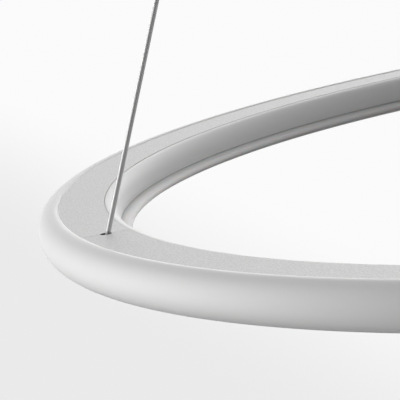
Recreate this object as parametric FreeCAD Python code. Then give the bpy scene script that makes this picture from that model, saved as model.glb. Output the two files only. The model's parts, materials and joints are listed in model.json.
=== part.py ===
import FreeCAD, Part
import math
import os

# A ring-shaped LED pendant lamp. A flat ring of light hangs level from a round ceiling canopy
# on three thin sheathed steel ropes, which lean inwards as they rise. Millimetres, +Z up.
# The origin is the centre of the canopy's face on the ceiling, and the lamp hangs towards -Z.

V = FreeCAD.Vector
UP = V(0, 0, 1)
ORIGIN = V(0, 0, 0)

# Counts and directions
rope_count = 3
first_rope_azimuth = 90.0
between_ropes_azimuth = 30.0
supply_azimuth = 240.0
chips_per_board = 22
board_screws_each = 4
clips_each = 3
hexagon_sides = 6
turn = 360.0
right_angle = 90.0
sector = turn / rope_count
rope_azimuths = [first_rope_azimuth + sector * i for i in range(rope_count)]
fixing_azimuths = [between_ropes_azimuth + sector * i for i in range(rope_count)]

# Ring: overall sizes and its section, where a depth is measured down from the flat top
ring_outside_diameter = 800.0
cover_width = 24.5
outer_bulge = 12.1
inner_bulge = 7.6
section_height = 23.4
inner_widest_depth = 9.5
outer_foot_inset = 8.6
crease_depth = 14.0
crease_inset = 2.0
shell_wall = 1.8
rim_land = 0.8
outer_rim_gap = 0.3
inner_rim_gap = 0.5
lip_land = 0.8
lip_height = 3.0
web_depth = 11.0
web_thickness = 2.0
web_overlap = 0.6
ledge_width = 3.0
ledge_thickness = 1.5

# Flat top cover
cover_thickness = 1.5
cover_seam = 0.3
rope_inset = 11.2
rope_hole_radius = 3.1
rope_hole_offset = 1.1

# Opal diffuser
diffuser_wall = 2.0
diffuser_gap = 0.3
diffuser_recess = 2.4
diffuser_leg = 5.0
diffuser_bead = 0.9
diffuser_hook = 1.0
diffuser_hook_wall = 1.5

# Suspension
pivot_margin = 25.0
pivot_height = 7.0
rope_drop = 800.0
rope_radius = 1.25
rope_tail = 18.5
ball_end_radius = 2.6
ball_end_depth = 7.0
fit_clearance = 0.05
same_point = 0.00005

# Canopy
canopy_radius = 100.0
canopy_depth = 75.0
cup_wall = 1.2
cup_corner = 8.0
cup_ceiling_gap = 1.0
plate_thickness = 2.0
flange_wall = 2.0
flange_height = 14.0
flange_gap = 0.3
overrun = 1.0

# Values that follow from them
ring_radius = ring_outside_diameter / 2
cover_outer = ring_radius - outer_bulge
cover_inner = cover_outer - cover_width
cover_middle = (cover_outer + cover_inner) / 2
rope_at = cover_inner + rope_inset
rope_hole_at = rope_at + rope_hole_offset
pivot_radius = canopy_radius - pivot_margin
pivot_z = pivot_height - canopy_depth
ring_top = pivot_z - rope_drop
lean = math.atan2(rope_at - pivot_radius, rope_drop)
ball_end_at = rope_at + ball_end_depth * math.tan(lean)
rope_length = (rope_drop + ball_end_depth) / math.cos(lean)


def spun(outline, angle=turn):
    """Turn a closed outline of (radius, z) steps about the Z axis."""
    solid = Part.Face(drawn(outline)).revolve(ORIGIN, UP, angle)
    return forward(solid)


def forward(solid):
    """Give a solid its outward side outwards."""
    if solid.Volume < 0:
        solid.reverse()
    return solid


def drawn(outline):
    """Draw a closed wire: a step of two is a straight line, and a step of four is an arc
    about the centre that its last two values give."""
    points = [V(step[0], 0, step[1]) for step in outline]
    edges = []
    for i, step in enumerate(outline):
        start, end = points[i - 1], points[i]
        if start.isEqual(end, same_point):
            continue
        if len(step) == 4:
            edges.append(arc(start, end, V(step[2], 0, step[3])))
        else:
            edges.append(Part.makeLine(start, end))
    return Part.Wire(edges)


def arc(start, end, centre):
    """The shorter arc from one point to another about a centre."""
    outwards = (start + end - centre * 2).normalize()
    middle = centre + outwards * centre.distanceToPoint(end)
    return Part.Arc(start, middle, end).toShape()


def tangent_radius(aside, along):
    """The radius of an arc that starts along a line and ends this far along and aside from it."""
    return (aside ** 2 + along ** 2) / (2 * aside)


def at_ring(outline):
    """Move an outline of (radius, depth) steps down to the ring's level."""
    placed = []
    for step in outline:
        if len(step) == 4:
            placed.append((step[0], ring_top - step[1], step[2], ring_top - step[3]))
        else:
            placed.append((step[0], ring_top - step[1]))
    return placed


def turned(shape, azimuth):
    """Turn a copy of a shape about the lamp's axis."""
    copy = shape.copy()
    copy.rotate(ORIGIN, UP, azimuth)
    return copy


def rod(radius, low, high):
    """An upright cylinder about the Z axis from one height to another."""
    return Part.makeCylinder(radius, high - low, V(0, 0, low))


def block(low_x, high_x, low_y, high_y, low_z, high_z):
    return Part.makeBox(high_x - low_x, high_y - low_y, high_z - low_z, V(low_x, low_y, low_z))


def moved(shape, x, y, z):
    copy = shape.copy()
    copy.translate(V(x, y, z))
    return copy


def leaned(shape):
    """Tip a shape made about the Z axis to the rope's slope, and put its origin on the swivel
    centre of a rope at azimuth 0."""
    copy = shape.copy()
    copy.rotate(ORIGIN, V(0, 1, 0), -math.degrees(lean))
    copy.translate(V(pivot_radius, 0, pivot_z))
    return copy


def hexagon(across_flats, low, high):
    """An upright hexagonal bar about the Z axis from one height to another."""
    corner_radius = across_flats / 2 / math.cos(math.pi / hexagon_sides)
    corners = []
    for i in range(hexagon_sides + 1):
        angle = math.radians(turn / hexagon_sides * i)
        corners.append(V(corner_radius * math.cos(angle), corner_radius * math.sin(angle), low))
    return Part.Face(Part.makePolygon(corners)).extrude(V(0, 0, high - low))


def tube(points, bend, radius):
    """A round wire along straight runs joined by tangent bends of one radius."""
    pieces = []
    start = points[0]
    for before, corner, after in zip(points, points[1:], points[2:]):
        back = (before - corner).normalize()
        ahead = (after - corner).normalize()
        half = back.getAngle(ahead) / 2
        cut = bend / math.tan(half)
        bend_start = corner + back * cut
        centre = corner + (back + ahead).normalize() * (bend / math.sin(half))
        disc = Part.Face(Part.Wire(Part.makeCircle(radius, bend_start, back)))
        pieces.append(straight_run(start, bend_start, radius))
        pieces.append(forward(disc.revolve(centre, ahead.cross(back), math.degrees(math.pi - 2 * half))))
        start = corner + ahead * cut
    return straight_run(start, points[-1], radius).fuse(pieces)


def straight_run(start, end, radius):
    return Part.makeCylinder(radius, start.distanceToPoint(end), start, end - start)


def keep(name, solids):
    """Write one solid, or a group of separate solids, as a node."""
    group = solids if isinstance(solids, list) else [solids]
    shape = group[0] if len(group) == 1 else Part.makeCompound(group)
    shape.exportStep("parts/" + name + ".step")


def ring_body():
    """The ring's channel: a rounded outer wall, a rounded inner wall and a web between them."""
    outer_rim = cover_outer + outer_rim_gap
    outer_start = outer_rim + rim_land
    widest_depth = ring_radius - outer_start
    foot = ring_radius - outer_foot_inset
    lip = foot - lip_land
    lip_depth = section_height - lip_height
    outer_inside = ring_radius - shell_wall
    ledge_depth = cover_thickness + ledge_thickness
    low_radius = tangent_radius(outer_foot_inset, section_height - widest_depth)
    low_centre = ring_radius - low_radius
    lip_end = low_centre + math.sqrt((low_radius - shell_wall) ** 2 - (lip_depth - widest_depth) ** 2)
    ledge_end = outer_start + math.sqrt((widest_depth - shell_wall) ** 2 - (widest_depth - ledge_depth) ** 2)
    outer_wall = [
        (outer_rim, 0), (outer_start, 0),
        (ring_radius, widest_depth, outer_start, widest_depth),
        (foot, section_height, low_centre, widest_depth),
        (lip, section_height), (lip, lip_depth), (lip_end, lip_depth),
        (outer_inside, widest_depth, low_centre, widest_depth),
        (ledge_end, ledge_depth, outer_start, widest_depth),
        (cover_outer - ledge_width, ledge_depth), (cover_outer - ledge_width, cover_thickness),
        (outer_rim, cover_thickness),
    ]
    inner_rim = cover_inner - inner_rim_gap
    inner_start = inner_rim - rim_land
    inner_face = cover_inner - inner_bulge
    crease = inner_face + crease_inset
    behind = crease + shell_wall
    top_centre = inner_face + tangent_radius(inner_start - inner_face, inner_widest_depth)
    low_centre = inner_face + tangent_radius(crease_inset, crease_depth - inner_widest_depth)
    inner_wall = [
        (inner_rim, 0), (inner_start, 0),
        (inner_face, inner_widest_depth, top_centre, inner_widest_depth),
        (crease, crease_depth, low_centre, inner_widest_depth),
        (behind, crease_depth), (behind, ledge_depth),
        (cover_inner + ledge_width, ledge_depth), (cover_inner + ledge_width, cover_thickness),
        (inner_rim, cover_thickness),
    ]
    web_low = web_depth + web_thickness
    web_in = behind - web_overlap
    web_out = outer_inside + web_overlap
    web = [(web_in, web_depth), (web_out, web_depth), (web_out, web_low), (web_in, web_low)]
    outer, inner, floor = [spun(at_ring(part)) for part in (outer_wall, inner_wall, web)]
    body = outer.fuse([inner, floor]).removeSplitter()
    holes = board_screw_places(board_screw_hole_radius) + anchor_holes() + lead_holes()
    return body.cut(holes)


def cover_segment():
    """One third of the flat top, whose two ends meet the next thirds at a rope hole."""
    outline = [(cover_inner, 0), (cover_outer, 0),
               (cover_outer, cover_thickness), (cover_inner, cover_thickness)]
    half_seam = math.degrees(cover_seam / 2 / cover_middle)
    plate = turned(spun(at_ring(outline), sector - 2 * half_seam), half_seam)
    hole = rod(rope_hole_radius, ring_top - cover_thickness - overrun, ring_top + overrun)
    hole.translate(V(rope_hole_at, 0, 0))
    return plate.cut([hole, turned(hole, sector)])


def diffuser():
    """The opal cover that closes the ring's underside and the lowest part of its inner side."""
    crease = cover_inner - inner_bulge + crease_inset
    top = crease_depth + diffuser_gap
    bottom = section_height - diffuser_recess
    inside = bottom - diffuser_wall
    start = crease + diffuser_gap
    corner = start + bottom - top
    hook = crease + shell_wall + diffuser_gap
    hook_in = hook + diffuser_hook_wall
    hook_low = top + math.sqrt((inside - top) ** 2 - (corner - hook_in) ** 2)
    edge = ring_radius - outer_foot_inset - lip_land - diffuser_gap
    leg_in = edge - diffuser_wall
    leg_top = bottom - diffuser_leg
    bead_low = section_height - lip_height - diffuser_gap
    return spun(at_ring([
        (start, top), (corner, bottom, corner, top), (edge, bottom),
        (edge, bead_low), (edge + diffuser_bead, bead_low), (edge, bead_low - 2 * diffuser_bead),
        (edge, leg_top), (leg_in, leg_top), (leg_in, inside),
        (corner, inside), (hook_in, hook_low, corner, top),
        (hook_in, top - diffuser_hook), (hook, top - diffuser_hook), (hook, top),
    ]))


# LED boards and what is on them
board_width = 14.0
board_thickness = 1.2
board_inset = 4.8
board_end_gap = 14.0
chip_size = 5.0
chip_height = 0.8
board_screw_radius = 1.2
board_screw_hole_radius = board_screw_radius + fit_clearance
board_screw_head_radius = 2.25
board_screw_head = 1.6
board_screw_inset = 3.0
board_in = cover_inner + board_inset
board_out = board_in + board_width
board_middle = (board_in + board_out) / 2
board_top = web_depth + web_thickness
board_face = board_top + board_thickness
board_end_angle = math.degrees(board_end_gap / board_middle)
board_angle = sector - 2 * board_end_angle
board_screw_end_angle = math.degrees(2 * board_end_gap / board_middle)


def board_screw_angles():
    step = (sector - 2 * board_screw_end_angle) / (board_screws_each - 1)
    return [board_screw_end_angle + step * i for i in range(board_screws_each)]


def board_screw_places(radius):
    """Upright rods through the board and the web at every screw of the three boards."""
    one = rod(radius, ring_top - board_face - overrun, ring_top - web_depth + overrun)
    one.translate(V(board_out - board_screw_inset, 0, 0))
    return [turned(one, azimuth + angle) for azimuth in rope_azimuths for angle in board_screw_angles()]


def led_board():
    outline = [(board_in, board_top), (board_out, board_top), (board_out, board_face), (board_in, board_face)]
    board = turned(spun(at_ring(outline), board_angle), board_end_angle)
    holes = [turned(hole, -rope_azimuths[0]) for hole in board_screw_places(board_screw_hole_radius)]
    holes.append(lead_hole())
    return board.cut(holes)


def led_chips():
    half = chip_size / 2
    chip = block(board_middle - half, board_middle + half, -half, half,
                 ring_top - board_face - chip_height, ring_top - board_face)
    pitch = board_angle / (chips_per_board + 1)
    first = board_end_angle + pitch
    return [turned(chip, azimuth + first + pitch * i)
            for azimuth in rope_azimuths for i in range(chips_per_board)]


def board_screws():
    head_top = ring_top - board_face
    screw = rod(board_screw_radius, head_top, ring_top - web_depth)
    head = rod(board_screw_head_radius, head_top - board_screw_head, head_top)
    one = screw.fuse(head)
    one.translate(V(board_out - board_screw_inset, 0, 0))
    return [turned(one, azimuth + angle) for azimuth in rope_azimuths for angle in board_screw_angles()]


# Links that carry the current from board to board past each rope
link_width = 3.0
link_thickness = 1.0
link_overlap = 4.0


def board_link():
    outline = [(board_in, board_face), (board_in + link_width, board_face),
               (board_in + link_width, board_face + link_thickness), (board_in, board_face + link_thickness)]
    half = math.degrees((board_end_gap + link_overlap) / board_in)
    return turned(spun(at_ring(outline), 2 * half), -half)


# Rope anchors in the ring: a block with a slanting bore that stops the ball end of the rope
anchor_length = 18.0
anchor_width = 14.0
anchor_height = 7.2
anchor_pad_thickness = 0.8
anchor_pad_margin = 1.0
anchor_bore_gap = 0.55
anchor_pocket_gap = 0.3
anchor_bore_radius = rope_radius + anchor_bore_gap
anchor_screw_radius = 1.45
anchor_screw_hole_radius = anchor_screw_radius + fit_clearance
anchor_screw_head_radius = 2.75
anchor_screw_head = 1.6
anchor_screw_spacing = 13.0
anchor_screw_reach = 6.0
anchor_low = web_depth - anchor_pad_thickness
anchor_at = ball_end_at


def anchor_block():
    low = ring_top - anchor_low
    body = block(anchor_at - anchor_width / 2, anchor_at + anchor_width / 2,
                 -anchor_length / 2, anchor_length / 2, low, low + anchor_height)
    pocket_radius = ball_end_radius + anchor_pocket_gap
    bore = leaned(rod(anchor_bore_radius, -rope_length, -rope_length + anchor_length))
    mouth = leaned(rod(pocket_radius, -rope_length - anchor_length, -rope_length))
    cup = leaned(Part.makeSphere(pocket_radius, V(0, 0, -rope_length)))
    return body.cut([bore, mouth, cup] + anchor_screw_rods(anchor_screw_hole_radius, low + anchor_screw_reach))


def anchor_screw_rods(radius, high):
    """The two upright rods of one anchor's screws, at azimuth 0, from below the web."""
    low = ring_top - board_top - overrun
    return [moved(rod(radius, low, high), anchor_at, side * anchor_screw_spacing / 2, 0) for side in (-1, 1)]


def anchor_holes():
    rods = anchor_screw_rods(anchor_screw_hole_radius, ring_top - web_depth + overrun)
    return [turned(one, azimuth) for azimuth in rope_azimuths for one in rods]


def anchor_pad():
    """The insulating sheet under one anchor."""
    margin = anchor_pad_margin
    low = ring_top - web_depth
    sheet = block(anchor_at - anchor_width / 2 - margin, anchor_at + anchor_width / 2 + margin,
                  -anchor_length / 2 - margin, anchor_length / 2 + margin, low, low + anchor_pad_thickness)
    return sheet.cut(anchor_screw_rods(anchor_screw_hole_radius, low + anchor_height))


def anchor_screws():
    under_web = ring_top - board_top
    screws = []
    for side in (-1, 1):
        shank = rod(anchor_screw_radius, under_web, ring_top - anchor_low + anchor_screw_reach - overrun)
        head = rod(anchor_screw_head_radius, under_web - anchor_screw_head, under_web)
        one = moved(shank.fuse(head), anchor_at, side * anchor_screw_spacing / 2, 0)
        screws += [turned(one, azimuth) for azimuth in rope_azimuths]
    return screws


# Leads in the ring, from the two live anchors down to the boards
ring_lead_radius = 0.8
ring_lead_bend = 2.5
ring_lead_rise = 3.6
ring_lead_past_board_end = 2.5
ring_lead_at = board_end_gap + ring_lead_past_board_end
live_ropes = 2


def lead_hole():
    hole = rod(ring_lead_radius + fit_clearance, ring_top - board_face - overrun, ring_top - web_depth + overrun)
    return moved(hole, anchor_at, ring_lead_at, 0)


def lead_holes():
    return [turned(lead_hole(), azimuth) for azimuth in rope_azimuths[:live_ropes]]


def ring_leads():
    level = ring_top - anchor_low + ring_lead_rise
    route = [V(anchor_at, anchor_length / 2, level), V(anchor_at, ring_lead_at, level),
             V(anchor_at, ring_lead_at, ring_top - board_face)]
    lead = tube(route, ring_lead_bend, ring_lead_radius)
    return [turned(lead, azimuth) for azimuth in rope_azimuths[:live_ropes]]


# Spring clips that hold the flat cover down on its ledges
clip_strip = 0.5
clip_length = 10.0
clip_foot = 0.8
clip_side_gap = 0.2
clip_ledge_gap = 0.3
clip_end_share = 1 / 6


def cover_clip():
    half = cover_width / 2 - ledge_width - clip_side_gap
    top = ring_top - cover_thickness
    foot = top - ledge_thickness - clip_ledge_gap
    right = [(half, top), (half, foot), (half + clip_foot, foot), (half + clip_foot, foot - clip_strip),
             (half - clip_strip, foot - clip_strip), (half - clip_strip, top - clip_strip)]
    left = [(-across, z) for across, z in reversed(right)]
    corners = [V(cover_middle + across, -clip_length / 2, z) for across, z in right + left]
    return Part.Face(Part.makePolygon(corners + corners[:1])).extrude(V(0, clip_length, 0))


def cover_clips():
    step = sector * (1 - 2 * clip_end_share) / (clips_each - 1)
    first = sector * clip_end_share
    return [turned(cover_clip(), azimuth + first + step * i) for azimuth in rope_azimuths for i in range(clips_each)]


# Rope grippers: a turned body with a ball that swivels in its seat, and a sprung release collar
swivel_radius = 7.0
stem_radius = 4.0
stem_length = 30.0
stem_chamfer = 0.5
neck_radius = 3.0
neck_length = 16.0
rope_bore_radius = rope_radius + fit_clearance
collar_rope_gap = 0.35
collar_bore_radius = rope_radius + collar_rope_gap
collar_stem_radius = 2.55
collar_socket_radius = collar_stem_radius + fit_clearance
collar_socket_depth = 11.0
collar_stem_length = 12.0
collar_head_radius = 4.0
collar_head = 3.0
collar_gap = 4.0
nut_across_flats = 8.0
nut_height = 3.0
nut_from_tip = 2.0


def gripper():
    low = -stem_length
    socket_top = low + collar_socket_depth
    stem_meets = -math.sqrt(swivel_radius ** 2 - stem_radius ** 2)
    neck_meets = math.sqrt(swivel_radius ** 2 - neck_radius ** 2)
    corners = [(neck_radius, neck_meets), (neck_radius, neck_length), (rope_bore_radius, neck_length),
               (rope_bore_radius, socket_top), (collar_socket_radius, socket_top), (collar_socket_radius, low),
               (stem_radius - stem_chamfer, low), (stem_radius, low + stem_chamfer), (stem_radius, stem_meets)]
    points = [V(radius, 0, z) for radius, z in corners]
    edges = [Part.makeLine(start, end) for start, end in zip(points, points[1:])]
    edges.append(Part.Arc(points[-1], V(swivel_radius, 0, 0), points[0]).toShape())
    return forward(Part.Face(Part.Wire(edges)).revolve(ORIGIN, UP, turn))


def lock_nut():
    top = neck_length - nut_from_tip
    low = top - nut_height
    body = hexagon(nut_across_flats, low, top)
    return body.cut(rod(neck_radius + fit_clearance, low - overrun, top + overrun))


def release_collar():
    head_top = -stem_length - collar_gap
    return spun([
        (collar_bore_radius, head_top + collar_stem_length), (collar_stem_radius, head_top + collar_stem_length),
        (collar_stem_radius, head_top), (collar_head_radius, head_top),
        (collar_head_radius, head_top - collar_head), (collar_bore_radius, head_top - collar_head),
    ])


def rope():
    return rod(rope_radius, -rope_length - ball_end_radius, rope_tail)


def ball_end():
    ball = Part.makeSphere(ball_end_radius, V(0, 0, -rope_length))
    return ball.cut(rod(rope_radius, -rope_length - 2 * ball_end_radius, -rope_length + 2 * ball_end_radius))


# Swivel seats in the canopy's floor: an insulating bush, its nut and its screwed cap
seat_radius = 9.4
seat_flange_radius = 12.5
seat_flange = 2.0
seat_split_rise = 1.0
seat_bore_radius = 5.0
socket_clearance = 0.08
seat_hole_gap = 0.12
seat_hole_radius = seat_radius + seat_hole_gap
seat_nut_radius = 13.0
seat_nut_height = 3.5
cap_radius = 11.5
cap_skirt = 2.0
cap_top_rise = 7.5
cap_bore_radius = 4.0


def swivel_bores(bore_radius, low, high):
    socket = moved(Part.makeSphere(swivel_radius + socket_clearance), pivot_radius, 0, pivot_z)
    return [socket, leaned(rod(bore_radius, low, high))]


def swivel_seat():
    bush = rod(seat_radius, -canopy_depth, pivot_z + seat_split_rise)
    flange = rod(seat_flange_radius, -canopy_depth - seat_flange, -canopy_depth)
    body = moved(bush.fuse(flange), pivot_radius, 0, 0)
    return body.cut(swivel_bores(seat_bore_radius, -stem_length, 0))


def seat_nut():
    low = cup_wall - canopy_depth
    ring = rod(seat_nut_radius, low, low + seat_nut_height)
    hole = rod(seat_radius + fit_clearance, low - overrun, low + seat_nut_height + overrun)
    return moved(ring.cut(hole), pivot_radius, 0, 0)


def seat_cap():
    split = pivot_z + seat_split_rise
    cap = rod(cap_radius, split - cap_skirt, pivot_z + cap_top_rise)
    recess = rod(seat_radius + fit_clearance, split - cap_skirt - overrun, split)
    body = moved(cap.cut(recess), pivot_radius, 0, 0)
    return body.cut(swivel_bores(cap_bore_radius, 0, stem_length))


# Canopy shells and their fastenings
cup_screw_radius = 1.9
cup_screw_hole_radius = cup_screw_radius + fit_clearance
cup_screw_depth = 8.0
cup_screw_head_radius = 3.5
cup_screw_head = 1.8
cup_screw_chamfer = 0.8
ceiling_hole_margin = 30.0
ceiling_hole_pitch_radius = canopy_radius - ceiling_hole_margin
ceiling_hole_radius = 2.75
supply_hole_margin = 34.0
supply_hole_at = canopy_radius - supply_hole_margin
supply_hole_radius = 8.0
grommet_wall = 2.0
grommet_lip = 1.5


def sideways_rod(radius, near, far, z):
    """A cylinder along +X from one radius to another at the given height."""
    return Part.makeCylinder(radius, far - near, V(near, 0, z), V(1, 0, 0))


def canopy_cup():
    inside = canopy_radius - cup_wall
    corner = canopy_radius - cup_corner
    corner_z = cup_corner - canopy_depth
    cup = spun([
        (0, -canopy_depth), (corner, -canopy_depth), (canopy_radius, corner_z, corner, corner_z),
        (canopy_radius, -cup_ceiling_gap), (inside, -cup_ceiling_gap), (inside, corner_z),
        (corner, cup_wall - canopy_depth, corner, corner_z), (0, cup_wall - canopy_depth),
    ])
    seat_hole = moved(rod(seat_hole_radius, -canopy_depth - overrun, pivot_z), pivot_radius, 0, 0)
    side_hole = sideways_rod(cup_screw_hole_radius, inside - overrun, canopy_radius + overrun, -cup_screw_depth)
    holes = [turned(seat_hole, azimuth) for azimuth in rope_azimuths]
    holes += [turned(side_hole, azimuth) for azimuth in fixing_azimuths]
    return cup.cut(holes)


def ceiling_plate():
    flange_out = canopy_radius - cup_wall - flange_gap
    flange_in = flange_out - flange_wall
    pan = spun([(0, 0), (flange_out, 0), (flange_out, -flange_height), (flange_in, -flange_height),
                (flange_in, -plate_thickness), (0, -plate_thickness)])
    through = (-plate_thickness - overrun, overrun)
    screw_hole = moved(rod(ceiling_hole_radius, *through), ceiling_hole_pitch_radius, 0, 0)
    side_hole = sideways_rod(cup_screw_hole_radius, flange_in - overrun, flange_out + overrun, -cup_screw_depth)
    supply_hole = moved(rod(supply_hole_radius, *through), supply_hole_at, 0, 0)
    holes = [turned(supply_hole, supply_azimuth)]
    for azimuth in fixing_azimuths:
        holes += [turned(screw_hole, azimuth), turned(side_hole, azimuth)]
    holes += driver_screw_rods(driver_screw_hole_radius, *through)
    holes.append(moved(rod(earth_stud_radius, *through), earth_stud_at, 0, 0))
    return pan.cut(holes)


def cup_screws():
    near = canopy_radius - cup_wall - flange_gap - flange_wall
    face = canopy_radius + cup_screw_head
    screw = spun([(0, near), (cup_screw_radius, near), (cup_screw_radius, canopy_radius),
                  (cup_screw_head_radius, canopy_radius), (cup_screw_head_radius, face - cup_screw_chamfer),
                  (cup_screw_head_radius - cup_screw_chamfer, face), (0, face)])
    screw.rotate(ORIGIN, V(0, 1, 0), right_angle)
    screw.translate(V(0, 0, -cup_screw_depth))
    return [turned(screw, azimuth) for azimuth in fixing_azimuths]


def supply_grommet():
    """The rubber ring that lines the hole where the mains cable enters."""
    inner = supply_hole_radius - grommet_wall
    lip = supply_hole_radius + grommet_lip
    ring = spun([(inner, 0), (supply_hole_radius, 0), (supply_hole_radius, -plate_thickness),
                 (lip, -plate_thickness), (lip, -plate_thickness - grommet_lip),
                 (inner, -plate_thickness - grommet_lip)])
    return turned(moved(ring, supply_hole_at, 0, 0), supply_azimuth)


# Driver, terminal block, earth stud and leads inside the canopy
driver_length_share = 0.7
driver_length = driver_length_share * canopy_radius
driver_width = 50.0
driver_height = 28.0
driver_edge_radius = 4.0
ear_length = 10.0
ear_width = 16.0
ear_thickness = 3.0
driver_screw_radius = 1.7
driver_screw_hole_radius = driver_screw_radius + fit_clearance
driver_screw_head_radius = 3.2
driver_screw_head = 2.0
earth_stud_margin = 28.0
earth_stud_at = canopy_radius - earth_stud_margin
earth_stud_radius = 2.0
earth_stud_length = 14.0
earth_nut_across = 7.0
earth_nut_height = 3.2
terminal_margin = 28.0
terminal_at = canopy_radius - terminal_margin
terminal_length = 30.0
terminal_width = 20.0
terminal_height = 16.0
terminal_screw_radius = 2.2
terminal_screw_depth = 3.0
terminal_poles = 3
lead_radius = 1.0
lead_bend = 5.0
lead_drop = 20.0
mains_lead_level = 12.0
mains_lead_spacing = 10.0


def driver_screw_rods(radius, low, high):
    at = driver_length / 2 + ear_length / 2
    return [moved(rod(radius, low, high), side * at, 0, 0) for side in (-1, 1)]


def driver_case():
    low = -plate_thickness - driver_height
    case = block(-driver_length / 2, driver_length / 2, -driver_width / 2, driver_width / 2, low, -plate_thickness)
    uprights = [edge for edge in case.Edges if abs(edge.Vertexes[0].Z - edge.Vertexes[-1].Z) > driver_edge_radius]
    case = case.makeFillet(driver_edge_radius, uprights)
    ears = block(-driver_length / 2 - ear_length, driver_length / 2 + ear_length, -ear_width / 2, ear_width / 2,
                 -plate_thickness - ear_thickness, -plate_thickness)
    through = (-plate_thickness - ear_thickness - overrun, overrun)
    return case.fuse(ears).removeSplitter().cut(driver_screw_rods(driver_screw_hole_radius, *through))


def driver_screws():
    head_top = -plate_thickness - ear_thickness
    shanks = driver_screw_rods(driver_screw_radius, head_top, 0)
    heads = driver_screw_rods(driver_screw_head_radius, head_top - driver_screw_head, head_top)
    return [shank.fuse(head) for shank, head in zip(shanks, heads)]


def terminal_block():
    low = -plate_thickness - terminal_height
    body = block(-terminal_at - terminal_width / 2, -terminal_at + terminal_width / 2,
                 -terminal_length / 2, terminal_length / 2, low, -plate_thickness)
    pitch = terminal_length / terminal_poles
    first = (pitch - terminal_length) / 2
    well = rod(terminal_screw_radius, low - overrun, low + terminal_screw_depth)
    return body.cut([moved(well, -terminal_at, first + pitch * i, 0) for i in range(terminal_poles)])


def earth_stud():
    """A stud through the ceiling plate, with the nut that clamps the earth lead's lug."""
    stud = rod(earth_stud_radius - fit_clearance, -earth_stud_length, 0)
    nut = hexagon(earth_nut_across, -plate_thickness - earth_nut_height, -plate_thickness)
    return moved(stud.fuse(nut), earth_stud_at, 0, 0)


def output_leads():
    """The two low-voltage leads from the driver to the caps of the live ropes' seats."""
    leads = []
    for azimuth in rope_azimuths[:live_ropes]:
        angle = math.radians(azimuth)
        across = max(abs(math.cos(angle)) / (driver_length / 2), abs(math.sin(angle)) / (driver_width / 2))
        start = 1 / across + lead_radius * math.tan(math.radians(between_ropes_azimuth))
        end = pivot_radius - cap_radius
        column = (start + end) / 2
        low = pivot_z + cap_top_rise - 2 * lead_radius
        route = [V(start, 0, -lead_drop), V(column, 0, -lead_drop), V(column, 0, low), V(end, 0, low)]
        leads.append(turned(tube(route, lead_bend, lead_radius), azimuth))
    return leads


def mains_leads():
    start = terminal_width / 2 - terminal_at
    length = -driver_length / 2 - start
    return [Part.makeCylinder(lead_radius, length, V(start, side * mains_lead_spacing / 2, -mains_lead_level), V(1, 0, 0))
            for side in (-1, 1)]


# Ring
keep("ring_body", ring_body())
keep("diffuser", diffuser())
keep("led_chips", led_chips())
keep("board_screws", board_screws())
keep("anchor_screws", anchor_screws())
keep("anchor_pads", [turned(anchor_pad(), azimuth) for azimuth in rope_azimuths])
keep("board_links", [turned(board_link(), azimuth) for azimuth in rope_azimuths])
keep("ring_leads", ring_leads())
keep("cover_clips", cover_clips())

# What repeats at each rope
for number, azimuth in enumerate(rope_azimuths, start=1):
    keep(f"top_cover_{number}", turned(cover_segment(), azimuth))
    keep(f"led_board_{number}", turned(led_board(), azimuth))
    keep(f"rope_anchor_{number}", turned(anchor_block(), azimuth))
    keep(f"gripper_{number}", turned(leaned(gripper()), azimuth))
    keep(f"lock_nut_{number}", turned(leaned(lock_nut()), azimuth))
    keep(f"release_collar_{number}", turned(leaned(release_collar()), azimuth))
    keep(f"rope_{number}", turned(leaned(rope()), azimuth))
    keep(f"ball_end_{number}", turned(leaned(ball_end()), azimuth))
    keep(f"swivel_seat_{number}", turned(swivel_seat(), azimuth))
    keep(f"seat_cap_{number}", turned(seat_cap(), azimuth))

# Canopy
keep("ceiling_plate", ceiling_plate())
keep("canopy_cup", canopy_cup())
keep("cup_screws", cup_screws())
keep("seat_nuts", [turned(seat_nut(), azimuth) for azimuth in rope_azimuths])
keep("supply_grommet", supply_grommet())
keep("driver_case", driver_case())
keep("driver_screws", driver_screws())
keep("terminal_block", terminal_block())
keep("earth_stud", earth_stud())
keep("output_leads", output_leads())
keep("mains_leads", mains_leads())

# Motion figures for the assembly: how far the ropes feed and swing as the ring is raised
lift = 50.0
raised = math.hypot(ball_end_at - pivot_radius, rope_drop + ball_end_depth - lift)
swing = math.atan2(ball_end_at - pivot_radius, rope_drop + ball_end_depth - lift) - lean
print("rope lean", round(math.degrees(lean), 4), "degrees, rope length", round(rope_length, 3))
print("lift", lift, "feeds", round(rope_length - raised, 4), "and swings", round(math.degrees(swing), 5))
print("pivot z", pivot_z, "ring top", ring_top, "ball end radius position", round(ball_end_at, 4))
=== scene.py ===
import json
import math
import bmesh
import bpy
from mathutils import Matrix, Vector


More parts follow.
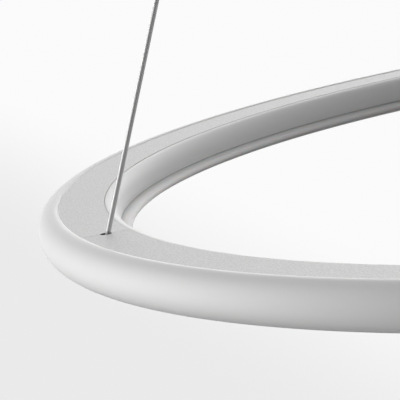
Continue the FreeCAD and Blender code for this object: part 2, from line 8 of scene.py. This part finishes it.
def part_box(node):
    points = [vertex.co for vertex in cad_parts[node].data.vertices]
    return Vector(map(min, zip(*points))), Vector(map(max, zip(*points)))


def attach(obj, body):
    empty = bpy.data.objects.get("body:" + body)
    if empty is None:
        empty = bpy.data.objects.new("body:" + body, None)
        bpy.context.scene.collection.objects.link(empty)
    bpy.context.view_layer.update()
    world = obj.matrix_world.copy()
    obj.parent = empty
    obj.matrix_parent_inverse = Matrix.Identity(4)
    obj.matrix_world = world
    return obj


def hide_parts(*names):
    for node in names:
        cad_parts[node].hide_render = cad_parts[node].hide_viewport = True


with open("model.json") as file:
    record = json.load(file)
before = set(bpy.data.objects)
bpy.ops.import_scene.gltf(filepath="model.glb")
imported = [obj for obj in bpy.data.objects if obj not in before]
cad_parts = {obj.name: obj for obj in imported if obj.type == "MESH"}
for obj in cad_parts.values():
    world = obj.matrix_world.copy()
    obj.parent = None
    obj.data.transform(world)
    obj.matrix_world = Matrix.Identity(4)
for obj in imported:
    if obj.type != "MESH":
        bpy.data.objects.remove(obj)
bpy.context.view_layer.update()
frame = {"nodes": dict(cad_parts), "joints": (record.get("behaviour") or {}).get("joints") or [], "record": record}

# A slim ring-shaped LED pendant on three sheathed steel ropes, in metres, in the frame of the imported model.
nodes = frame["nodes"]
world = bpy.context.scene.world or bpy.data.worlds.new("studio")
bpy.context.scene.world = world
bpy.context.scene.view_settings.view_transform = "Standard"
mm = 0.001

ropeNumbers = (1, 2, 3)
ringLow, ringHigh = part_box("ring_body")
ringTop = ringHigh.z


# Shader maths: one socket, written as plain expressions
class Signal:
    def __init__(self, graph, socket):
        self.graph = graph
        self.socket = socket

    def maths(self, operation, first, second):
        return self.graph.add("Math", {"operation": operation}, {0: first, 1: second})

    def __add__(self, other):
        return self.maths("ADD", self, other)

    def __radd__(self, other):
        return self.maths("ADD", other, self)

    def __mul__(self, other):
        return self.maths("MULTIPLY", self, other)

    def __rmul__(self, other):
        return self.maths("MULTIPLY", other, self)

    def __pow__(self, other):
        return self.maths("POWER", self, other)

    def __rpow__(self, other):
        return self.maths("POWER", other, self)


class Graph:
    def __init__(self, tree):
        self.tree = tree
        self.tree.nodes.clear()

    # Any node: its settings first, then the values or links of its sockets
    def add(self, kind, settings, inputs, out=0):
        made = self.tree.nodes.new("ShaderNode" + kind)
        for key, value in settings.items():
            if key == "stops":
                self.fillRamp(made.color_ramp, value)
            else:
                setattr(made, key, value)
        for key, value in inputs.items():
            if isinstance(value, Signal):
                self.tree.links.new(value.socket, made.inputs[key])
            else:
                made.inputs[key].default_value = value
        return Signal(self, made.outputs[out]) if len(made.outputs) else made

    def fillRamp(self, ramp, stops):
        while len(ramp.elements) < len(stops):
            ramp.elements.new(1.0)
        for element, (place, colour) in zip(ramp.elements, stops):
            element.position = place
            element.color = colour

    def blendColour(self, factor, first, second):
        return self.add("Mix", {"data_type": "RGBA"}, {0: factor, 6: first, 7: second}, out=2)

    # From a darker to a paler shade of one colour
    def shades(self, factor, colour, dark, pale):
        return self.blendColour(factor, tint(colour, dark), tint(colour, pale))

    # Where the point lies on the piece, in metres of the model's frame
    def place(self):
        return self.add("TexCoord", {}, {}, out="Object")

    def noise(self, scale, detail=2.0, roughness=0.5, vector=None):
        inputs = {"Vector": vector or self.place(), "Scale": scale, "Detail": detail, "Roughness": roughness}
        return self.add("TexNoise", {}, inputs)

    def bump(self, height, distance):
        return self.add("Bump", {}, {"Height": height, "Distance": distance, "Strength": 1.0})


def grey(level):
    return (level, level, level, 1.0)


def tint(colour, factor):
    return (colour[0] * factor, colour[1] * factor, colour[2] * factor, 1.0)


# Sockets that hold one value all over a surface
fixedInputs = ("Metallic", "Coat Weight", "Coat Roughness", "Specular IOR Level", "Subsurface Weight",
               "Subsurface Scale")


def surface(name, look):
    material = bpy.data.materials.new(name)
    material.use_nodes = True
    graph = Graph(material.node_tree)
    varying = look["build"](graph, look)
    inputs = {key: look[key] for key in fixedInputs if key in look}
    inputs.update(varying)
    shader = graph.add("BsdfPrincipled", {}, inputs)
    graph.add("OutputMaterial", {}, {"Surface": shader})
    return material


# Satin paint: a faint ripple and a finer grain
paintMix = {"dark": 0.985, "pale": 1.01, "grainDetail": 3.0, "rippleShare": 0.7, "grainShare": 0.3}


def buildPaint(graph, look):
    ripple = graph.noise(look["rippleScale"])
    grain = graph.noise(look["grainScale"], detail=paintMix["grainDetail"])
    spread = look["roughnessSpread"]
    height = ripple * paintMix["rippleShare"] + grain * paintMix["grainShare"]
    return {
        "Base Color": graph.shades(grain, look["colour"], paintMix["dark"], paintMix["pale"]),
        "Roughness": ripple * spread + (look["roughness"] - spread / 2),
        "Normal": graph.bump(height, look["bump"]),
    }


# Powder coat: sharp speckles, with faint clouds over them
def buildPowder(graph, look):
    speckle = graph.noise(look["speckleScale"], roughness=look["speckleRoughness"])
    cloud = graph.noise(look["cloudScale"])
    stops = [(look["speckleFrom"], grey(0)), (look["speckleTo"], grey(1))]
    sparse = graph.add("ValToRGB", {"stops": stops}, {"Fac": speckle}, out="Color")
    spotted = graph.shades(sparse, look["colour"], 1 - look["contrast"], 1 + look["contrast"])
    clouded = tint(look["colour"], look["cloudTint"])
    return {
        "Base Color": graph.blendColour(cloud * look["cloudShare"], spotted, clouded),
        "Roughness": speckle * look["roughnessSpread"] + look["roughness"],
        "Normal": graph.bump(speckle, look["bump"]),
    }


# Opal plastic: a faint haze
def buildOpal(graph, look):
    haze = graph.noise(look["hazeScale"])
    return {
        "Base Color": graph.shades(haze, look["colour"], look["hazeTint"], 1),
        "Roughness": haze * look["roughnessSpread"] + look["roughness"],
        "Normal": graph.bump(haze, look["bump"]),
    }


# Bare metal: fine lines, with smudges over them
metalMix = {"dark": 0.9, "pale": 1.06, "detail": 3.0, "lineRoughness": 0.65, "lineSpread": 0.16,
            "smudgeSpread": 0.1}


def buildMetal(graph, look):
    m = metalMix
    stretched = graph.add("Mapping", {}, {"Vector": graph.place(), "Scale": look["stretch"]})
    lines = graph.noise(look["lineScale"], detail=m["detail"], roughness=m["lineRoughness"], vector=stretched)
    smudge = graph.noise(look["smudgeScale"], detail=m["detail"])
    smoothest = look["roughness"] - (m["lineSpread"] + m["smudgeSpread"]) / 2
    return {
        "Base Color": graph.shades(smudge, look["colour"], m["dark"], m["pale"]),
        "Roughness": lines * m["lineSpread"] + smudge * m["smudgeSpread"] + smoothest,
        "Normal": graph.bump(lines, look["bump"]),
    }


# Steel strands seen through a clear sheath: fine slanting lines along the rope
def buildRope(graph, look):
    chart = graph.add("TexCoord", {}, {}, out="UV")
    around = graph.add("SeparateXYZ", {}, {"Vector": chart}, out="X")
    along = graph.add("SeparateXYZ", {}, {"Vector": chart}, out="Y")
    wave = graph.add("Math", {"operation": "SINE"}, {0: (around + along) * (2 * math.pi * look["strands"])})
    strand = wave * 0.5 + 0.5  # from 0 to 1
    haze = graph.noise(look["hazeScale"])
    return {
        "Base Color": graph.shades(strand, look["colour"], 1 - look["contrast"], 1),
        "Roughness": haze * look["roughnessSpread"] + look["roughness"],
        "Normal": graph.bump(strand, look["bump"]),
    }


# Moulded plastic and rubber: a fine grain, with faint clouds over it
mouldedMix = {"dark": 0.95, "pale": 1.03, "grainDetail": 3.0, "grainRoughness": 0.6, "roughnessSpread": 0.14}


def buildMoulded(graph, look):
    m = mouldedMix
    grain = graph.noise(look["grainScale"], detail=m["grainDetail"], roughness=m["grainRoughness"])
    cloud = graph.noise(look["cloudScale"])
    return {
        "Base Color": graph.shades(cloud, look["colour"], m["dark"], m["pale"]),
        "Roughness": grain * m["roughnessSpread"] + (look["roughness"] - m["roughnessSpread"] / 2),
        "Normal": graph.bump(grain, look["bump"]),
    }


finishes = {
    "shell_white": {"build": buildPaint, "colour": (0.7, 0.7, 0.697), "roughness": 0.46,
                    "roughnessSpread": 0.06, "rippleScale": 160, "grainScale": 1500, "bump": 0.00002,
                    "Specular IOR Level": 0.25},
    "cover_white": {"build": buildPowder, "colour": (0.63, 0.63, 0.627), "roughness": 0.5,
                    "roughnessSpread": 0.12, "speckleScale": 1100, "speckleRoughness": 0.6,
                    "speckleFrom": 0.36, "speckleTo": 0.64, "contrast": 0.16, "cloudScale": 60,
                    "cloudShare": 0.25, "cloudTint": 0.97, "bump": 0.00014},
    "opal": {"build": buildOpal, "colour": (0.64, 0.64, 0.635), "roughness": 0.42, "roughnessSpread": 0.06,
             "hazeScale": 90, "hazeTint": 0.98, "bump": 0.00001, "Specular IOR Level": 0.25,
             "Subsurface Weight": 0.25, "Subsurface Scale": 0.004},
    "canopy_white": {"build": buildPaint, "colour": (0.8, 0.8, 0.795), "roughness": 0.36,
                     "roughnessSpread": 0.06, "rippleScale": 160, "grainScale": 1500, "bump": 0.00002},
    "rope_steel": {"build": buildRope, "colour": (0.74, 0.74, 0.735), "roughness": 0.36,
                   "roughnessSpread": 0.1, "strands": 6, "contrast": 0.08, "hazeScale": 300,
                   "bump": 0.00002, "Metallic": 0.15, "Coat Weight": 0.4, "Coat Roughness": 0.2},
    "nickel": {"build": buildMetal, "colour": (0.68, 0.67, 0.64), "roughness": 0.3, "stretch": (0.2, 0.2, 1),
               "lineScale": 3000, "smudgeScale": 160, "bump": 0.00001, "Metallic": 1.0},
    "zinc_steel": {"build": buildMetal, "colour": (0.62, 0.63, 0.65), "roughness": 0.42, "stretch": (1, 1, 1),
                   "lineScale": 900, "smudgeScale": 90, "bump": 0.00001, "Metallic": 1.0},
    "spring_steel": {"build": buildMetal, "colour": (0.42, 0.42, 0.43), "roughness": 0.38,
                     "stretch": (1, 1, 0.3), "lineScale": 1600, "smudgeScale": 200, "bump": 0.00001,
                     "Metallic": 1.0},
    "insulator": {"build": buildMoulded, "colour": (0.78, 0.77, 0.73), "roughness": 0.48,
                  "grainScale": 1800, "cloudScale": 120, "bump": 0.00002},
    "grommet_rubber": {"build": buildMoulded, "colour": (0.035, 0.035, 0.036), "roughness": 0.72,
                       "grainScale": 1300, "cloudScale": 150, "bump": 0.00004},
    "driver_plastic": {"build": buildMoulded, "colour": (0.7, 0.7, 0.69), "roughness": 0.55,
                       "grainScale": 1100, "cloudScale": 50, "bump": 0.00005},
    "board_white": {"build": buildPaint, "colour": (0.84, 0.84, 0.82), "roughness": 0.3,
                    "roughnessSpread": 0.05, "rippleScale": 400, "grainScale": 2400, "bump": 0.00001},
    "led_phosphor": {"build": buildMoulded, "colour": (0.86, 0.66, 0.16), "roughness": 0.4,
                     "grainScale": 2600, "cloudScale": 300, "bump": 0.00001},
    "lead_sheath": {"build": buildMoulded, "colour": (0.74, 0.74, 0.72), "roughness": 0.4,
                    "grainScale": 1500, "cloudScale": 100, "bump": 0.00001},
}
materials = {name: surface(name, look) for name, look in finishes.items()}
print("finishes", len(materials))


# Carried-over pieces keep their shape and take their slot's finish
for entry in frame["record"]["subparts"]:
    piece = nodes[entry["node"]]
    piece.data.materials.clear()
    piece.data.materials.append(materials[entry["material_slot"]])
print("carried pieces", len(nodes))


# Mesh helpers
def newPiece(name, points, faces, body, slotName):
    mesh = bpy.data.meshes.new(name)
    mesh.from_pydata([tuple(point) for point in points], [], faces)
    mesh.update()
    mesh.polygons.foreach_set("use_smooth", [True] * len(mesh.polygons))
    mesh.materials.append(materials[slotName])
    piece = bpy.data.objects.new(name, mesh)
    bpy.context.scene.collection.objects.link(piece)
    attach(piece, body)
    return piece


# Outlines of turned pieces, in millimetres: each step is a radius, a depth under the piece's top and
# the softness of its edge, and two more values give the centre of an arc that leads to it
def arcPoints(start, end, centre, spacing):
    first = math.atan2(start[1] - centre[1], start[0] - centre[0])
    sweep = math.atan2(end[1] - centre[1], end[0] - centre[0]) - first
    sweep = (sweep + math.pi) % (2 * math.pi) - math.pi
    radius = math.dist(end[:2], centre)
    count = max(2, math.ceil(abs(sweep) * radius / spacing))
    angles = [first + sweep * k / count for k in range(1, count)]
    return [(centre[0] + radius * math.cos(a), centre[1] + radius * math.sin(a), 0) for a in angles]


# A quarter of an oval, which leaves one point square to its centre and reaches the other the same way
def ovalPoints(start, end, centre, spacing):
    centre = Vector(centre)
    near = Vector(start) - centre
    far = Vector(end) - centre
    count = max(2, math.ceil((near.length + far.length) / spacing))
    angles = [math.pi / 2 * k / count for k in range(1, count)]
    return [(*(centre + near * math.cos(a) + far * math.sin(a)), 0) for a in angles]


# A soft edge is a small curve between two points beside the corner, with one more point on each
# side that keeps the shading of the faces flat
edgeShares = {"longest": 0.3, "guard": 1.6, "curve": (0, 0.25, 0.5, 0.75, 1)}


def softEdge(before, corner, after, softness):
    corner, before, after = (Vector(point[:2]) for point in (corner, before, after))
    cuts = [min(softness, (other - corner).length * edgeShares["longest"]) for other in (before, after)]
    near, far = [(other - corner).normalized() * cut for other, cut in zip((before, after), cuts)]
    curve = [corner + near * (1 - share) ** 2 + far * share ** 2 for share in edgeShares["curve"]]
    return [corner + near * edgeShares["guard"], *curve, corner + far * edgeShares["guard"]]


def softOutline(steps, spacing):
    sampled = []
    for i, step in enumerate(steps):
        if len(step) == 5:
            sampled += arcPoints(steps[i - 1], step, step[3:], spacing)
        sampled.append(step)
    outline = []
    for i, point in enumerate(sampled):
        if point[2]:
            outline += softEdge(sampled[i - 1], point, sampled[(i + 1) % len(sampled)], point[2])
        else:
            outline.append(Vector(point[:2]))
    return outline


weldDistance = 0.001 * mm


def turnedPiece(name, outlines, top, look, body, slotName, centre=(0, 0)):
    points = []
    faces = []
    segments = look["segments"]
    for steps in outlines:
        outline = softOutline(steps, look["spacing"])
        base = len(points)
        count = len(outline)
        for k in range(segments):
            x = mm * math.cos(2 * math.pi * k / segments)
            y = mm * math.sin(2 * math.pi * k / segments)
            points += [(centre[0] + p.x * x, centre[1] + p.x * y, top - p.y * mm) for p in outline]
        for k in range(segments):
            here = base + k * count
            beside = base + (k + 1) % segments * count
            for i in range(count):
                after = (i + 1) % count
                faces.append((here + i, here + after, beside + after, beside + i))
    piece = newPiece(name, points, faces, body, slotName)
    built = bmesh.new()
    built.from_mesh(piece.data)
    bmesh.ops.remove_doubles(built, verts=built.verts, dist=weldDistance)
    bmesh.ops.recalc_face_normals(built, faces=built.faces)
    built.to_mesh(piece.data)
    built.free()
    return piece


def tangentRadius(aside, along):
    return (aside ** 2 + along ** 2) / (2 * aside)


# Ring shell: a rounded outer wall, a rounded inner wall and the web between them
section = {"outside": 400.0, "height": 23.4, "wall": 1.8, "coverOuter": 387.9, "coverInner": 363.4,
           "coverThickness": 1.5, "ledgeDepth": 3.0, "ledgeWidth": 3.0, "outerRimGap": 0.05,
           "outerRimRise": 0.45, "outerRimRun": 2.4, "outerWidestDepth": 11.0, "footInset": 8.6,
           "lipLand": 0.8, "lipHeight": 3.0, "innerRimGap": 0.1, "innerRimDrop": 0.22, "innerRimLand": 0.8,
           "innerBulge": 7.6, "innerWidestDepth": 9.5, "creaseDepth": 14.0, "creaseInset": 0.9,
           "creaseSoft": 0.7, "rimSoft": 0.3, "edgeSoft": 0.2, "webDepth": 11.0, "webThickness": 2.0,
           "webOverlap": 0.6}
diffuser = {"gap": 0.15, "recess": 2.4, "bulge": 5.3, "bulgeDepth": 17.2, "flatInset": 1.4, "wall": 2.0,
            "leg": 5.0, "bead": 0.9, "hook": 1.0, "hookGap": 0.3, "hookWall": 1.5, "soft": 0.3}
turning = {"segments": 480, "spacing": 0.8}


def ringShell():
    s = section
    spacing = turning["spacing"]
    rim = s["coverOuter"] + s["outerRimGap"]
    start = rim + s["outerRimRun"]
    widest = s["outerWidestDepth"]
    foot = s["outside"] - s["footInset"]
    lip = foot - s["lipLand"]
    lipDepth = s["height"] - s["lipHeight"]
    inside = s["outside"] - s["wall"]
    lowRadius = tangentRadius(s["footInset"], s["height"] - widest)
    lowCentre = s["outside"] - lowRadius
    lipEnd = lowCentre + math.sqrt((lowRadius - s["wall"]) ** 2 - (lipDepth - widest) ** 2)
    ledgeHeight = (widest - s["ledgeDepth"]) / (widest + s["outerRimRise"] - s["wall"])
    ledgeEnd = start + (inside - start) * math.sqrt(1 - ledgeHeight ** 2)
    ledge = s["coverOuter"] - s["ledgeWidth"]
    crown = (start, -s["outerRimRise"])
    side = (s["outside"], widest)
    outer = [(rim, 0, 0), (*crown, s["rimSoft"]), *ovalPoints(crown, side, (start, widest), spacing),
             (*side, 0), (foot, s["height"], s["edgeSoft"], lowCentre, widest),
             (lip, s["height"], s["edgeSoft"]), (lip, lipDepth, 0), (lipEnd, lipDepth, 0),
             (inside, widest, 0, lowCentre, widest),
             (ledgeEnd, s["ledgeDepth"], 0), (ledge, s["ledgeDepth"], 0),
             (ledge, s["coverThickness"], 0), (rim, s["coverThickness"], 0)]
    rim = s["coverInner"] - s["innerRimGap"]
    start = rim - s["innerRimLand"]
    face = s["coverInner"] - s["innerBulge"]
    crease = face + s["creaseInset"]
    behind = crease + s["wall"]
    widest = s["innerWidestDepth"]
    lowCentre = face + tangentRadius(s["creaseInset"], s["creaseDepth"] - widest)
    ledge = s["coverInner"] + s["ledgeWidth"]
    crown = (start, s["innerRimDrop"])
    side = (face, widest)
    inner = [(rim, crown[1], 0), (*crown, 0), *ovalPoints(crown, side, (start, widest), spacing), (*side, 0),
             (crease, s["creaseDepth"], s["creaseSoft"], lowCentre, widest), (behind, s["creaseDepth"], 0),
             (behind, s["ledgeDepth"], 0), (ledge, s["ledgeDepth"], 0), (ledge, s["coverThickness"], 0),
             (rim, s["coverThickness"], 0)]
    webIn = behind - s["webOverlap"]
    webOut = inside + s["webOverlap"]
    webLow = s["webDepth"] + s["webThickness"]
    web = [(webIn, s["webDepth"], 0), (webOut, s["webDepth"], 0), (webOut, webLow, 0), (webIn, webLow, 0)]
    shell = turnedPiece("ring_shell", (outer, inner, web), ringTop, turning, "ring", "shell_white")
    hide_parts("ring_body")


def opalDiffuser():
    s = section
    d = diffuser
    spacing = turning["spacing"]
    crease = s["coverInner"] - s["innerBulge"] + s["creaseInset"]
    top = s["creaseDepth"] + d["gap"]
    bottom = s["height"] - d["recess"]
    inside = bottom - d["wall"]
    start = crease + d["gap"]
    flat = s["coverInner"] + d["flatInset"]
    side = (s["coverInner"] - s["innerBulge"] - d["bulge"], d["bulgeDepth"])
    hook = crease + s["wall"] + d["hookGap"]
    hookIn = hook + d["hookWall"]
    hookTop = top - d["hook"]
    edge = s["outside"] - s["footInset"] - s["lipLand"] - d["hookGap"]
    legIn = edge - d["wall"]
    legTop = bottom - d["leg"]
    beadLow = s["height"] - s["lipHeight"] - d["hookGap"]
    beadTop = beadLow - 2 * d["bead"]
    outline = [(start, top, 0), *ovalPoints((start, top), side, (start, side[1]), spacing), (*side, 0),
               *ovalPoints(side, (flat, bottom), (flat, side[1]), spacing), (flat, bottom, 0),
               (edge, bottom, d["soft"]), (edge, beadLow, 0), (edge + d["bead"], beadLow, 0),
               (edge, beadTop, 0), (edge, legTop, 0), (legIn, legTop, 0), (legIn, inside, 0),
               (flat, inside, 0), (side[0] + d["wall"], side[1], 0), (hookIn, top + d["wall"], 0),
               (hookIn, hookTop, 0), (hook, hookTop, 0), (hook, top, 0)]
    cover = turnedPiece("opal_diffuser", (outline,), ringTop, turning, "ring", "opal")
    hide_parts("diffuser")


ringShell()
opalDiffuser()
print("ring")


# Flat cover: its three thirds get a soft edge
coverEdge = {"width": 0.2 * mm, "segments": 2, "limit": math.radians(40)}
for number in ropeNumbers:
    edge = nodes[f"top_cover_{number}"].modifiers.new("soft edge", "BEVEL")
    edge.width = coverEdge["width"]
    edge.segments = coverEdge["segments"]
    edge.limit_method = "ANGLE"
    edge.angle_limit = coverEdge["limit"]


def jointNamed(name):
    return next(joint for joint in frame["joints"] if joint["name"] == name)


def swivelCentre(number):
    return Vector(jointNamed(f"gripper_{number}_swivel")["pos_m"])


# Painted shade: a thin black lining in each rope's hole in the cover darkens the hole where it lies in shade
holeShadeLining = {"holeAt": 375.7, "outside": 3.08, "inside": 2.93, "top": 0.05, "low": 1.5, "segments": 48,
        "spacing": 0.5}


def paintedHoleShade(number):
    towards = Vector(swivelCentre(number)[:2]).normalized()
    outline = [(holeShadeLining["inside"], holeShadeLining["top"], 0), (holeShadeLining["outside"], holeShadeLining["top"], 0),
               (holeShadeLining["outside"], holeShadeLining["low"], 0), (holeShadeLining["inside"], holeShadeLining["low"], 0)]
    # Its black rubber finish is the painted shade inside the hole
    turnedPiece(f"painted_hole_shade_{number}", (outline,), ringTop, holeShadeLining, "ring", "grommet_rubber",
                centre=towards * holeShadeLining["holeAt"] * mm)


# Ropes: round and smooth in their clear sheath, with a map for the strands that show through it
rope = {"radius": 1.25 * mm, "sides": 32, "rings": 60, "lay": 14.0 * mm}


def ropeLine(number):
    axis = Vector(jointNamed(f"rope_{number}_feed")["axis"]).normalized()
    low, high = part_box(f"rope_{number}")
    overhang = rope["radius"] * math.hypot(axis.x, axis.y)
    pivot = swivelCentre(number)
    return [pivot + axis * ((z - pivot.z) / axis.z) for z in (low.z + overhang, high.z - overhang)]


def sheathedRope(number):
    bottom, top = ropeLine(number)
    length = (top - bottom).length
    across = (top - bottom).to_track_quat("Z", "Y").to_matrix()
    sides = rope["sides"]
    points = []
    faces = []
    places = []
    for ring in range(rope["rings"] + 1):
        along = length * ring / rope["rings"]
        for side in range(sides):
            angle = 2 * math.pi * side / sides
            offset = Vector((rope["radius"] * math.cos(angle), rope["radius"] * math.sin(angle), along))
            points.append(bottom + across @ offset)
    for ring in range(rope["rings"]):
        low = ring / rope["rings"] * length / rope["lay"]
        high = (ring + 1) / rope["rings"] * length / rope["lay"]
        for side in range(sides):
            here = ring * sides + side
            beside = ring * sides + (side + 1) % sides
            faces.append((here, beside, beside + sides, here + sides))
            left = side / sides
            right = (side + 1) / sides
            places += [(left, low), (right, low), (right, high), (left, high)]
    for ring, order in ((0, reversed(range(sides))), (rope["rings"], range(sides))):
        faces.append(tuple(ring * sides + side for side in order))
        places += [(0, 0)] * sides
    piece = newPiece(f"sheathed_rope_{number}", points, faces, f"rope_{number}", "rope_steel")
    chart = piece.data.uv_layers.new(name="strands")
    for corner, place in zip(chart.data, places):
        corner.uv = place
    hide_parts(f"rope_{number}")


for number in ropeNumbers:
    paintedHoleShade(number)
    sheathedRope(number)
print("ropes")


# Camera, where the photo's ellipses put it
shot = {"unit": 363.4 * mm, "away": 4.41348, "above": 0.7184, "yaw": -0.196343, "pitch": -0.168801,
        "roll": 0.137489, "focalPixels": 3000.0, "framePixels": 400.0, "sensorWidth": 36.0,
        "clipStart": 0.05, "clipEnd": 60.0, "ropeAzimuth": math.radians(-153.0), "ropeNumber": 2}


def placeCamera():
    yaw = shot["yaw"]
    pitch = shot["pitch"]
    forward = Vector((math.sin(yaw) * math.cos(pitch), math.cos(yaw) * math.cos(pitch), math.sin(pitch)))
    level = Vector((math.cos(yaw), -math.sin(yaw), 0))
    lower = forward.cross(level)
    right = level * math.cos(shot["roll"]) + lower * math.sin(shot["roll"])
    down = lower * math.cos(shot["roll"]) - level * math.sin(shot["roll"])
    swivel = swivelCentre(shot["ropeNumber"])
    azimuth = math.atan2(swivel.y, swivel.x)
    turn = Matrix.Rotation(azimuth - shot["ropeAzimuth"], 4, "Z")
    pose = Matrix.Identity(4)
    for column, axis in enumerate((right, -down, -forward)):
        for row in range(3):
            pose[row][column] = axis[row]
    pose.translation = Vector((0, -shot["away"], shot["above"])) * shot["unit"]
    data = bpy.data.cameras.new("camera")
    data.sensor_width = shot["sensorWidth"]
    data.lens = shot["focalPixels"] / shot["framePixels"] * data.sensor_width
    data.clip_start = shot["clipStart"]
    data.clip_end = shot["clipEnd"]
    camera = bpy.data.objects.new("camera", data)
    camera.matrix_world = Matrix.Translation((0, 0, ringTop)) @ turn @ pose
    bpy.context.scene.collection.objects.link(camera)
    bpy.context.scene.camera = camera
    return camera


camera = placeCamera()
print("camera", [round(v, 3) for v in camera.location])


# Studio: a pale floor that only the camera sees, with painted shade that leaves it darker near and paler towards
# the far side, and soft light from all round
studio = {"floorBelow": 0.75, "floorSize": 60.0, "nearLevel": 0.845, "farLevel": 1.0, "fadeAzimuth": 29.4,
          "fadeStart": 0.411, "fadeWidth": 0.56, "shadowShare": 0.1, "cloth": 0.85, "wallLevel": 0.96,
          "ambient": 0.11, "sharpness": 10}

# Soft lights: degrees round from +Y towards +X, degrees above level, and strength
softLights = {
    "left": {"azimuth": -90, "elevation": 5, "strength": 3.5},
    "leftHigh": {"azimuth": -90, "elevation": 30, "strength": 1.9},
    "leftLow": {"azimuth": -90, "elevation": -20, "strength": 2.35},
    "behind": {"azimuth": 0, "elevation": 5, "strength": 2.5},
    "behindHigh": {"azimuth": 0, "elevation": 30, "strength": 1.34},
    "rightBehind": {"azimuth": 45, "elevation": 30, "strength": 1.53},
    "right": {"azimuth": 90, "elevation": 10, "strength": 1.2},
}


def cameraRay(graph):
    return graph.add("LightPath", {}, {}, out="Is Camera Ray")


def floorFinish():
    material = bpy.data.materials.new("floor")
    material.use_nodes = True
    graph = Graph(material.node_tree)
    # Painted shade: the floor's glow fades from a darker near level to a paler far level
    azimuth = math.radians(studio["fadeAzimuth"])
    aim = (math.cos(azimuth), math.sin(azimuth), 0)
    along = graph.add("VectorMath", {"operation": "DOT_PRODUCT"}, {0: graph.place(), 1: aim}, out="Value")
    fade = graph.add("MapRange", {"interpolation_type": "SMOOTHSTEP"},
                     {"Value": along, "From Min": studio["fadeStart"],
                      "From Max": studio["fadeStart"] + studio["fadeWidth"]})
    shade = graph.blendColour(fade, grey(studio["nearLevel"]), grey(studio["farLevel"]))
    glow = graph.add("Emission", {}, {"Color": shade, "Strength": 1.0})
    cloth = graph.add("BsdfDiffuse", {}, {"Color": grey(studio["cloth"])})
    clear = graph.add("BsdfTransparent", {}, {})
    shown = graph.add("MixShader", {}, {0: 1 - studio["shadowShare"], 1: cloth, 2: glow})
    mixed = graph.add("MixShader", {}, {0: cameraRay(graph), 1: clear, 2: shown})
    graph.add("OutputMaterial", {}, {"Surface": mixed})
    return material


def stageFloor():
    half = studio["floorSize"] / 2
    z = ringLow.z - studio["floorBelow"]
    corners = [(-half, -half, z), (half, -half, z), (half, half, z), (-half, half, z)]
    mesh = bpy.data.meshes.new("floor")
    mesh.from_pydata(corners, [], [(0, 1, 2, 3)])
    mesh.materials.append(floorFinish())
    floor = bpy.data.objects.new("floor", mesh)
    bpy.context.scene.collection.objects.link(floor)


def lightRoom():
    world.use_nodes = True
    graph = Graph(world.node_tree)
    direction = graph.add("TexCoord", {}, {}, out="Generated")
    level = studio["ambient"]
    for light in softLights.values():
        azimuth = math.radians(light["azimuth"])
        elevation = math.radians(light["elevation"])
        flat = math.cos(elevation)
        aim = (flat * math.sin(azimuth), flat * math.cos(azimuth), math.sin(elevation))
        facing = graph.add("VectorMath", {"operation": "DOT_PRODUCT"}, {0: direction, 1: aim}, out="Value")
        facing = graph.add("Math", {"operation": "MAXIMUM"}, {0: facing, 1: 0.0})
        level = level + facing ** studio["sharpness"] * light["strength"]
    soft = graph.add("CombineColor", {}, {"Red": level, "Green": level, "Blue": level})
    shown = graph.blendColour(cameraRay(graph), soft, grey(studio["wallLevel"]))
    glow = graph.add("Background", {}, {"Color": shown, "Strength": 1.0})
    graph.add("OutputWorld", {}, {"Surface": glow})


stageFloor()
lightRoom()
print("studio")
